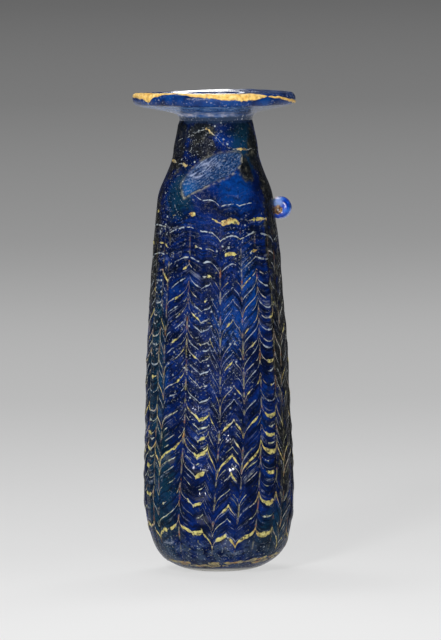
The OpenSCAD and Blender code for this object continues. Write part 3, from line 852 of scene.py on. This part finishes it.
class Nodes:
    """Short calls that add nodes to one material."""

    def __init__(self, name, placed=True):
        self.material = bpy.data.materials.new(name)
        self.material.use_nodes = True
        self.tree = self.material.node_tree
        self.shader = self.tree.nodes["Principled BSDF"]
        self.at = self.place() if placed else None

    def put(self, socket, value):
        """Link a socket, or set a value or the colour of a hex code."""
        if isinstance(value, str):
            value = srgb(value)
        if isinstance(value, bpy.types.NodeSocket):
            self.tree.links.new(value, socket)
        else:
            socket.default_value = value

    def add(self, kind, inputs, **settings):
        """New node with its settings and inputs, these by name or number."""
        node = self.tree.nodes.new("ShaderNode" + kind)
        for key, value in settings.items():
            setattr(node, key, value)
        for key, value in inputs.items():
            self.put(node.inputs[key], value)
        return node

    def place(self):
        """Coordinates in mm."""
        return self.stretch(self.add("TexCoord", {}).outputs["Object"], (1 / MM, 1 / MM, 1 / MM))

    def value(self, name, output="Fac"):
        """Value of the mesh by the name of its attribute."""
        return self.add("Attribute", {}, attribute_name=name).outputs[output]

    def stretch(self, vector, scale):
        return self.add("VectorMath", {0: vector, 1: scale}, operation="MULTIPLY").outputs[0]

    def noise(self, scale, detail=3.0, rough=0.55, vector=None):
        """Noise in the material's coordinates or in others."""
        inputs = {"Vector": vector or self.at, "Scale": scale, "Detail": detail, "Roughness": rough}
        return self.add("TexNoise", inputs).outputs["Fac"]

    def spots(self, low, high, *texture):
        """Noise cut by a smooth step."""
        return self.step(self.noise(*texture), low, high)

    def cells(self, scale):
        return self.add("TexVoronoi", {"Vector": self.at, "Scale": scale}).outputs

    def dots(self, scale, radius, share):
        """Round dots in a share of the cells."""
        cells = self.cells(scale)
        split = self.add("SeparateColor", {0: cells["Color"]})
        picked = self.math("LESS_THAN", split.outputs[0], share)
        return self.times(picked, self.step(cells["Distance"], radius, radius * 0.4))

    def step(self, value, low, high):
        """Smooth step from 0 at low to 1 at high."""
        inputs = {"Value": value, "From Min": low, "From Max": high}
        return self.add("MapRange", inputs, interpolation_type="SMOOTHSTEP").outputs["Result"]

    def math(self, operation, a, b=0.0):
        return self.add("Math", {0: a, 1: b}, operation=operation).outputs[0]

    def times(self, a, b):
        return self.math("MULTIPLY", a, b)

    def plus(self, a, b, share=None):
        """a plus b, or plus a share of b."""
        return self.math("ADD", a, b if share is None else self.times(b, share))

    def ramp(self, value, stops):
        """Colours of hex codes at the stops."""
        node = self.add("ValToRGB", {"Fac": value})
        while len(node.color_ramp.elements) < len(stops):
            node.color_ramp.elements.new(0.5)
        for element, (at, color) in zip(node.color_ramp.elements, stops):
            element.position = at
            element.color = srgb(color)
        return node.outputs["Color"]

    def mix(self, share, a, b):
        return self.add("Mix", {"Factor": share, 6: a, 7: b}, data_type="RGBA").outputs[2]

    def tint(self, color, share, strength, other):
        """Colour mixed with another where share is high."""
        return self.mix(self.times(share, strength), color, other)

    def bump(self, height, strength, distance):
        inputs = {"Height": height, "Strength": strength, "Distance": distance * MM}
        return self.add("Bump", inputs).outputs["Normal"]

    def glass(self, color, rough, normal, specular, **more):
        """Set the shader's inputs and return the material."""
        values = {"Base_Color": color, "Roughness": rough, "Normal": normal, "IOR": GLASS_IOR,
                  "Specular_IOR_Level": specular}
        for key, value in {**values, **more}.items():
            self.put(self.shader.inputs[key.replace("_", " ")], value)
        return self.material


def deep_blue(n):
    """Cobalt in four depths."""
    stops = [(0.3, "03091E"), (0.45, "04123C"), (0.58, "051D56"), (0.74, "072C6A")]
    return n.ramp(n.noise(0.16, 4, 0.6), stops)


# Colour where the painted reflection of the rim's underside fades out over the joint with the neck
NECK_REFLECTION_FADE = "22324C"


def cobalt_color(n, comb):
    """Deep blue with azure, teal and brown patches, the brown ones partly painted shade on the flanks, and
    the rim's painted reflection fading out at the neck's top.
    """
    color = deep_blue(n)
    ragged = n.noise(0.35, 4, 0.6)
    azure = n.step(n.plus(n.value("azure"), ragged, 0.9), 0.65, 1.3)
    clouds = n.spots(0.38, 0.62, 0.9, 4, 0.6)
    azure = n.times(azure, n.plus(0.35, clouds, 0.4))
    color = n.mix(azure, color, "073A80")
    teal = n.step(n.plus(n.value("teal"), ragged, 0.9), 0.7, 1.2)
    color = n.tint(color, teal, 0.75, "0C2C3C")
    bands = n.noise(1.0, 3, 0.6, n.stretch(comb, (0.75, 0.2, 0.2)))
    bands = n.times(n.step(bands, 0.54, 0.4), n.value("combed"))
    color = n.tint(color, bands, 0.75, "030716")
    mottle = n.spots(0.48, 0.62, 0.33, 5, 0.65)
    color = n.tint(color, mottle, 0.5, "050C1A")
    # Dark earth, partly painted shade on the flanks
    soil = n.noise(0.45, 5, 0.7)
    earth_and_flank_shade = n.step(n.plus(n.value("earth_and_flank_shade"), soil), 0.82, 1.15)
    earth = n.ramp(soil, [(0.4, "080A0C"), (0.56, "1C1D1A"), (0.74, "5A584C")])
    color = n.tint(color, earth_and_flank_shade, 0.9, earth)
    # Darker towards the top of the neck, under the rim
    color = n.tint(color, n.value("top"), 0.4, "0C1416")
    # Painted reflection of the rim's underside fading out over the neck's top
    rim_reflection_fade = n.step(n.plus(n.value("rim_reflection_fade"), ragged, 1.6), 1.35, 1.85)
    return n.mix(rim_reflection_fade, color, NECK_REFLECTION_FADE)


def weathering_and_painted_foot_reflection(n, comb, color):
    """Film, comb-laid threads, pits and specks over the blue, and a painted reflection of the pale floor
    round the foot.
    """
    combed = n.value("combed")
    pitted = n.value("pitted")
    pale_layer = n.step(n.plus(n.times(pitted, 0.1), n.noise(0.28, 5, 0.65)), 0.54, 0.76)
    color = n.tint(color, pale_layer, 0.05, "565E70")
    dust = n.times(n.value("dust"), n.spots(0.36, 0.66, 0.4, 4, 0.6))
    color = n.tint(color, dust, 0.32, "5A6E82")
    thread = n.step(n.noise(1.0, 3, 0.6, n.stretch(comb, (1.5, 0.16, 0.16))), 0.57, 0.66)
    broken = n.times(n.spots(0.42, 0.6, 0.55, 4, 0.6), n.spots(0.38, 0.6, 0.17, 3))
    thread = n.times(n.times(thread, broken), combed)
    faint = n.plus(0.3, n.value("low"), 0.45)
    color = n.tint(color, thread, faint, "8E95A4")
    cluster = n.plus(n.times(pitted, 0.3), n.noise(0.4, 4, 0.6), 0.8)
    cluster = n.plus(cluster, n.value("dust"), 0.3)
    holes = n.times(n.step(n.cells(0.85)["Distance"], 0.3, 0.12), n.step(cluster, 0.35, 0.6))
    color = n.tint(color, holes, 0.75, "03050A")
    specks = n.times(n.spots(0.62, 0.7, 1.9, 2, 0.5), n.step(cluster, 0.4, 0.68))
    color = n.tint(color, specks, 0.6, "9AA0A6")
    crumbs = n.times(n.step(n.noise(1.25, 3, 0.5, n.stretch(n.at, (1, 1, 1.1))), 0.67, 0.72), combed)
    crumbs = n.times(crumbs, n.spots(0.45, 0.6, 0.25, 3))
    color = n.tint(color, crumbs, 0.7, "8C8854")
    dots = n.times(n.dots(1.5, 0.2, 0.18), n.step(cluster, 0.46, 0.7))
    color = n.tint(color, dots, 0.7, "B8BEC0")
    flecks = n.times(n.dots(0.64, 0.25, 0.36), n.step(pitted, 0.2, 0.7))
    color = n.tint(color, flecks, 0.75, "A4ACAE")
    # Painted reflection: the lowest rim of the foot is whitened as if it mirrored the pale floor
    color = n.mix(n.value("foot"), color, "E4E2DA")
    crust = n.ramp(n.noise(0.5, 4, 0.6), [(0.35, "3A332C"), (0.5, "6A5F50"), (0.66, "8E8474")])
    return n.mix(n.value("residue"), color, crust)


def comb_lines(n, color):
    """Pale and brown stain left along the strokes."""
    line = n.step(n.math("ABSOLUTE", n.value("stroke")), 0.34, 0.08)
    kept = n.spots(0.46, 0.6, 0.4, 4, 0.6)
    line = n.times(line, n.times(n.value("stroke_fade"), kept))
    stain = n.ramp(n.noise(0.5, 2), [(0.4, "9A9360"), (0.52, "8E8C80"), (0.62, "9A6238")])
    return n.tint(color, line, 0.48, stain)


def flake_bed(n, streak, color):
    """Streaked clean glass where the flake broke away, with a painted highlight over its bed, and its beige
    edge.
    """
    clean = n.ramp(streak, [(0.36, "0A1B3A"), (0.54, "1A365E"), (0.74, "4C6588")])
    clean = n.tint(clean, n.value("flake_tip"), 0.8, "12508E")
    # Painted highlight: pale lavender over the streaks in the flake's bed
    painted_highlight = n.step(n.plus(streak, n.value("flake_painted_highlight"), 0.32), 0.65, 0.98)
    clean = n.tint(clean, painted_highlight, 0.6, "9CA3BC")
    grain = n.spots(0.52, 0.66, 2.0, 3, 0.6)
    clean = n.tint(clean, grain, 0.35, "98A4B8")
    color = n.tint(color, n.value("flake"), 0.9, clean)
    edge = n.times(n.value("flake_edge"), n.spots(0.38, 0.6, 0.7, 4, 0.65))
    return n.tint(color, edge, 0.75, "8C897C")


def cobalt_relief(n, comb, streak, polish):
    """Pits and comb ridges, or the flake's streaks, smoother where polished."""
    flake = n.value("flake")
    pits = n.step(n.cells(0.85)["Distance"], 0.0, 0.4)
    ridges = n.times(n.noise(1.0, 2, 0.5, n.stretch(comb, (0.9, 0.16, 0.16))), n.value("combed"))
    relief = n.plus(n.times(pits, 0.35), n.noise(1.1, 2, 0.5), 0.8)
    relief = n.plus(relief, ridges, 1.4)
    relief = n.times(relief, n.plus(1.0, flake, -0.8))
    relief = n.plus(relief, flake, n.times(streak, 0.5))
    return n.times(relief, n.plus(1.0, polish, -0.6))


def cobalt_glass():
    n = Nodes("cobalt_glass")
    comb = n.value("comb", "Vector")
    streak = n.noise(1.0, 4, 0.6, n.stretch(n.value("flake_lay", "Vector"), (0.42, 2.0, 1)))
    color = weathering_and_painted_foot_reflection(n, comb, cobalt_color(n, comb))
    color = flake_bed(n, streak, comb_lines(n, color))
    polish = n.step(n.value("polished"), 0.25, 0.6)
    normal = n.bump(cobalt_relief(n, comb, streak, polish), 0.6, 0.5)
    rough = n.plus(0.08, n.noise(0.8, 4), 0.16)
    return n.glass(color, rough, normal, 0.03, Coat_Weight=polish, Coat_Roughness=0.12, Coat_IOR=GLASS_IOR)


def rim_glass():
    n = Nodes("rim_glass")
    color = n.ramp(n.noise(0.2, 3), [(0.32, "061538"), (0.5, "082A60"), (0.72, "0A3C7A")])
    # Painted reflection of the pale floor over the underside, lighter still by the neck and fading to the
    # neck's tone at the joint; painted shade on the underside's right
    pale_layer = n.ramp(n.noise(0.3, 4), [(0.36, "1E4884"), (0.52, "3E689E"), (0.68, "8298BC")])
    color = n.tint(color, n.value("below"), 0.75, pale_layer)
    near = n.step(n.plus(n.value("near"), n.noise(0.4, 4), 0.8), 0.7, 1.3)
    painted_reflection_by_neck = n.ramp(n.noise(0.35, 4), [(0.35, "2C4E88"), (0.5, "68799E"), (0.64, "AAA8BA")])
    color = n.mix(near, color, painted_reflection_by_neck)
    color = n.tint(color, n.value("shaded"), 0.75, "0C2448")
    collar = n.step(n.plus(n.value("collar"), n.noise(0.6, 4, 0.65)), 0.7, 1.3)
    color = n.mix(collar, color, NECK_REFLECTION_FADE)
    specks = n.times(n.spots(0.59, 0.68, 1.7, 2), n.spots(0.4, 0.6, 0.25, 3))
    color = n.tint(color, specks, 0.7, "B4B8C4")
    relief = n.plus(n.noise(1.1, 4), n.step(n.cells(0.8)["Distance"], 0.04, 0.22), 0.35)
    rough = n.plus(0.12, n.noise(0.6, 3), 0.2)
    return n.glass(color, rough, n.bump(relief, 0.45, 0.3), 0.2)


def yellow_glass(name, pale, main, deep, stain, edge_color, pitting=0.8, faded="8F9392"):
    n = Nodes(name)
    color = n.ramp(n.noise(0.75, 4, 0.6), [(0.32, deep), (0.5, main), (0.68, pale)])
    color = n.mix(n.value("gold"), faded, color)
    warm = n.times(n.value("warm"), n.spots(0.36, 0.58, 0.6, 3))
    color = n.tint(color, warm, 0.8, stain)
    worn = n.step(n.plus(n.value("core"), n.noise(1.7, 3), 1.1), 0.86, 0.56)
    color = n.tint(color, worn, 0.8, edge_color)
    pits = n.spots(0.47, 0.39, 1.15, 3, 0.6)
    color = n.tint(color, pits, pitting, "1C2026")
    relief = n.plus(n.noise(1.8, 3, 0.6), pits, -0.8)
    rough = n.plus(0.3, n.noise(1.2, 3), 0.25)
    return n.glass(color, rough, n.bump(relief, 0.8, 0.2), 0.35)


def lug_glass():
    n = Nodes("lug_glass")
    color = n.ramp(n.noise(0.45, 3), [(0.3, "04267A"), (0.52, "0A42B0"), (0.72, "2A6AD0")])
    color = n.tint(color, n.value("glow"), 0.6, "124E7C")
    # Painted highlight: pale blue over the upper left, white along the crest
    painted_highlight = n.plus(n.value("painted_highlight"), n.noise(0.9, 3), 0.5)
    color = n.tint(color, n.step(painted_highlight, 0.45, 1.0), 0.75, "8EA8D6")
    color = n.mix(n.step(n.times(painted_highlight, n.value("crest")), 0.6, 0.95), color, "E4EAF4")
    earth = n.step(n.plus(n.value("eye"), n.noise(0.9, 3), 1.8), 1.9, 1.25)
    soil = n.ramp(n.noise(1.1, 3), [(0.38, "4A2E18"), (0.5, "8A6440"), (0.62, "B49A74")])
    color = n.mix(earth, color, soil)
    rough = n.plus(0.06, n.noise(1.5, 2), 0.1)
    return n.glass(color, rough, n.bump(n.noise(0.8, 3), 0.3, 0.15), 0.3, Transmission_Weight=0.3,
                   Subsurface_Weight=0.4, Subsurface_Radius=(0.2, 0.5, 1.0), Subsurface_Scale=0.002)


def dress(obj, material, node):
    obj.data.materials.append(material)
    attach(obj, "root")
    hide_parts(node)


# Studio: a pale floor that darkens with distance, soft lamps and the camera
FLOOR_REACH = 9.0
NEAR_REACH = 1.2
# Grey levels of the floor: distance behind the vessel in metres, and sRGB level
FLOOR_LEVELS = [
    (-6.0, 90), (-3.0, 120), (-1.2, 165), (-0.5, 215), (-0.25, 232), (-0.16, 232), (-0.08, 229),
    (0.03, 218), (0.21, 209), (0.59, 187), (1.14, 171), (1.98, 156), (3.42, 134), (6.28, 115), (9.0, 104),
]
# To the sides it stays pale as far as PALE_SIDE metres
PALE_SIDE = 0.2
DIM_SHARE = 0.75
GLOW_SHARE = 0.8


def floor_line(near, far):
    """Grid stations, close together near the vessel."""
    side = np.linspace(NEAR_REACH, FLOOR_REACH, far)
    return np.unique(np.concatenate([-side, np.linspace(-NEAR_REACH, NEAR_REACH, near), side]))


def floor_grey():
    """Grey that glows a little where it is seen, mirrored or looked at through glass."""
    n = Nodes("floor_grey", False)
    grey = n.value("grey")
    diffuse = n.add("BsdfDiffuse", {"Color": grey})
    glow = n.add("Emission", {"Color": grey})
    path = n.add("LightPath", {}).outputs
    seen = n.math("MAXIMUM", path["Is Camera Ray"], path["Is Glossy Ray"])
    seen = n.math("MAXIMUM", seen, path["Is Transmission Ray"])
    share = n.times(seen, GLOW_SHARE)
    blend = n.add("MixShader", {"Fac": share, 1: diffuse.outputs[0], 2: glow.outputs[0]})
    n.put(n.tree.nodes["Material Output"].inputs["Surface"], blend.outputs[0])
    n.tree.nodes.remove(n.shader)
    return n.material


def build_floor():
    xs, ys = floor_line(33, 5), floor_line(49, 40)
    x, y = np.meshgrid(xs, ys)
    at, level = np.array(FLOOR_LEVELS).T
    grey = ((np.interp(y, at, level) / 255 + 0.055) / 1.055) ** 2.4
    grey *= 1 - DIM_SHARE * smooth(np.abs(x), PALE_SIDE, NEAR_REACH)
    points = np.stack([x, y, 0 * x], -1).reshape(-1, 3)
    i, j = np.meshgrid(np.arange(len(ys) - 1), np.arange(len(xs) - 1), indexing="ij")
    corner = i * len(xs) + j
    faces = np.stack([corner, corner + 1, corner + len(xs) + 1, corner + len(xs)], -1).reshape(-1, 4).tolist()
    obj = make_object("floor", points / MM, faces, {"grey": grey.reshape(-1)})
    obj.data.materials.append(floor_grey())


MIDDLE = (0, 0, 0.07)
# Lamps: name, place, target, power in watts, size in metres, and whether the glass mirrors them
LAMPS = [
    ("key", (-0.35, -1.15, 0.75), MIDDLE, 13, (0.18, 0.18), True),
    ("front", (0.35, -1.25, 0.25), MIDDLE, 4, (0.14, 0.14), True),
    ("left", (-0.55, -1.15, 0.25), MIDDLE, 2.4, (0.12, 0.12), True),
    ("low", (0.05, -1.6, 0.2), (0, 0, 0.1), 3.8, (0.5, 0.1), False),
    ("top_back", (-0.05, 0.16, 0.62), (0, 0, 0.13), 2.0, (0.3, 0.1), True),
    ("table", (-0.05, -0.7, 0.08), (0, 0, 0.03), 0.5, (0.1, 0.04), True),
    ("back_left", (-0.65, 1.1, 0.5), MIDDLE, 6, (0.4, 0.4), False),
    ("back_right", (0.65, 1.1, 0.5), MIDDLE, 6, (0.4, 0.4), False),
    ("rim_back", (-0.0035, 0.22, 0.165), (0, 0, 0.134), 0.012, (0.016, 0.03), True),
]
WORLD_COLOR = (0.5, 0.52, 0.55, 1)
WORLD_STRENGTH = 0.12


def add_lamp(name, place, target, power, size, mirrored):
    data = bpy.data.lights.new(name, "AREA")
    data.energy = power
    data.shape = "RECTANGLE"
    data.size, data.size_y = size
    lamp = bpy.data.objects.new(name, data)
    lamp.location = place
    lamp.rotation_euler = (Vector(target) - Vector(place)).to_track_quat("-Z", "Y").to_euler()
    lamp.visible_camera = False
    lamp.visible_glossy = mirrored
    bpy.context.scene.collection.objects.link(lamp)


def build_light():
    for lamp in LAMPS:
        add_lamp(*lamp)
    world = bpy.data.worlds.new("studio")
    world.use_nodes = True
    background = world.node_tree.nodes["Background"].inputs
    background["Color"].default_value = WORLD_COLOR
    background["Strength"].default_value = WORLD_STRENGTH
    bpy.context.scene.world = world


# The camera stands far off in front, a little above level and rolled with the photographed lean
IMAGE_H = 640
PIXELS_PER_M = 3563.0
CAMERA_DISTANCE = 2.0
CAMERA_RISE = math.radians(3.98)
CAMERA_ROLL = math.radians(0.72)
CAMERA_AIM = (0.00098, 0.0, 0.0702)
SENSOR = 36.0


def build_camera():
    data = bpy.data.cameras.new("camera")
    data.sensor_fit = "VERTICAL"
    data.sensor_height = SENSOR
    data.lens = PIXELS_PER_M * CAMERA_DISTANCE * SENSOR / IMAGE_H
    camera = bpy.data.objects.new("camera", data)
    back = Vector((0, -math.cos(CAMERA_RISE), math.sin(CAMERA_RISE)))
    place = Vector(CAMERA_AIM) + back * CAMERA_DISTANCE
    turn = (-back).to_track_quat("-Z", "Y").to_matrix() @ Matrix.Rotation(-CAMERA_ROLL, 3, "Z")
    camera.matrix_world = Matrix.Translation(place) @ turn.to_4x4()
    bpy.context.scene.collection.objects.link(camera)
    bpy.context.scene.camera = camera


# Opaque glasses: pale, main and deep tone, stain, worn edge, strength of the pits, and faded tone
body_yellow = yellow_glass("body_yellow", "C2BA7C", "A8A05C", "8A804A", "A0703F", "4A5240", 0.85)
rim_yellow = yellow_glass("rim_yellow", "F0D08A", "E6BA62", "CC9846", "A9A77E", "B59A58", 0.3)
worn_yellow = yellow_glass("worn_yellow", "A9A48A", "8C876C", "6F6B5C", "BE9C4C", "5A6066")
pale_glass = yellow_glass("pale_glass", "C4C8C8", "93977E", "6E7256", "A9A27A", "343E48", 0.8, "848E9A")
base_yellow = yellow_glass("base_yellow", "BAAE76", "A09260", "84744E", "8A5C34", "4C443A", 0.5, "6E6A62")
dress(build_body(), cobalt_glass(), "body")
dress(build_rim(), rim_glass(), "rim_disk")
dress(build_lug(), lug_glass(), "lug")
dress(build_rim_trail(), rim_yellow, "rim_trail")
dress(build_neck_trail(), worn_yellow, "neck_trail")
dress(build_yellow(), body_yellow, "yellow_trail")
dress(build_pale(), pale_glass, "pale_trail")
dress(build_base_trail(), base_yellow, "base_trail")
build_floor()
build_light()
build_camera()
bpy.context.scene.view_settings.view_transform = "Standard"

bpy.context.view_layer.update()
